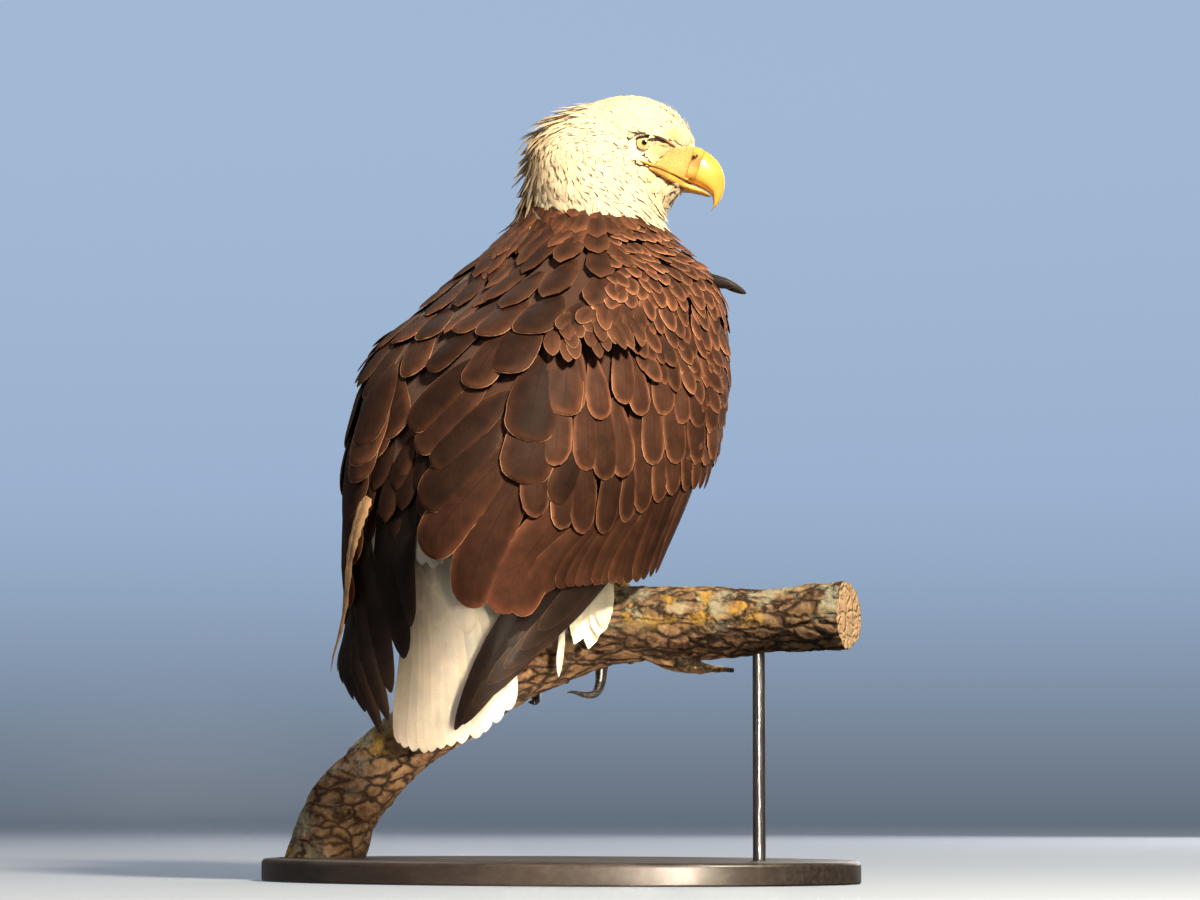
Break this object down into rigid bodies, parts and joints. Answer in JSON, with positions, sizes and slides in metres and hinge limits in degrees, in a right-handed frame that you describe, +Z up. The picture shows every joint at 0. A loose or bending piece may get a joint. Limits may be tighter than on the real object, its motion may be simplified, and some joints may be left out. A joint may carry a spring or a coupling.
{
  "type": "perched eagle display model",
  "caption": "Life-size still model of a perched white-headed eagle, wings folded and head turned to its right, gripping a cut branch on an oval display base.",
  "frame": {"origin": "middle of the underside of the display base, under the bird's feet", "axes": "+Z up, the bird's body faces -Y, its right side is -X and its left side is +X"},
  "size_m": [0.5794, 0.4195, 0.7515],
  "materials": {
    "head": "creamy white feathers",
    "neck": "creamy white feathers",
    "trunk": "dark brown feathers with pale edges",
    "tail": "white feathers",
    "wing_left": "dark brown feathers with pale edges",
    "wing_right": "dark brown feathers with pale edges",
    "primaries_left": "blackish brown feathers",
    "primaries_right": "blackish brown feathers",
    "leg_left": "dark brown feathers",
    "leg_right": "dark brown feathers",
    "foot_left": "scaly yellow skin",
    "foot_right": "scaly yellow skin",
    "claw_left_1": "black horn",
    "claw_left_2": "black horn",
    "claw_left_3": "black horn",
    "claw_left_4": "black horn",
    "claw_right_1": "black horn",
    "claw_right_2": "black horn",
    "claw_right_3": "black horn",
    "claw_right_4": "black horn",
    "bill_upper": "satin yellow horn",
    "bill_lower": "satin yellow horn",
    "cere": "satin yellow skin",
    "eye_left": "wet pale yellow iris, black pupil",
    "eye_right": "wet pale yellow iris, black pupil",
    "perch_branch": "rough bark with grey-green and yellow lichen",
    "stand_base": "black satin",
    "stand_rod": "dark satin",
    "stand_dowel": "dark satin"
  },
  "bodies": {
    "root": {"head": "head", "neck": "neck", "trunk": "trunk", "tail": "tail", "wing_left": "wing_left", "wing_right": "wing_right", "primaries_left": "primaries_left", "primaries_right": "primaries_right", "leg_left": "leg_left", "leg_right": "leg_right", "foot_left": "foot_left", "foot_right": "foot_right", "claw_left_1": "claw_left_1", "claw_left_2": "claw_left_2", "claw_left_3": "claw_left_3", "claw_left_4": "claw_left_4", "claw_right_1": "claw_right_1", "claw_right_2": "claw_right_2", "claw_right_3": "claw_right_3", "claw_right_4": "claw_right_4", "bill_upper": "bill_upper", "bill_lower": "bill_lower", "cere": "cere", "eye_left": "eye_left", "eye_right": "eye_right", "perch_branch": "perch_branch", "stand_base": "stand_base", "stand_rod": "stand_rod", "stand_dowel": "stand_dowel"}
  },
  "joints": []
}
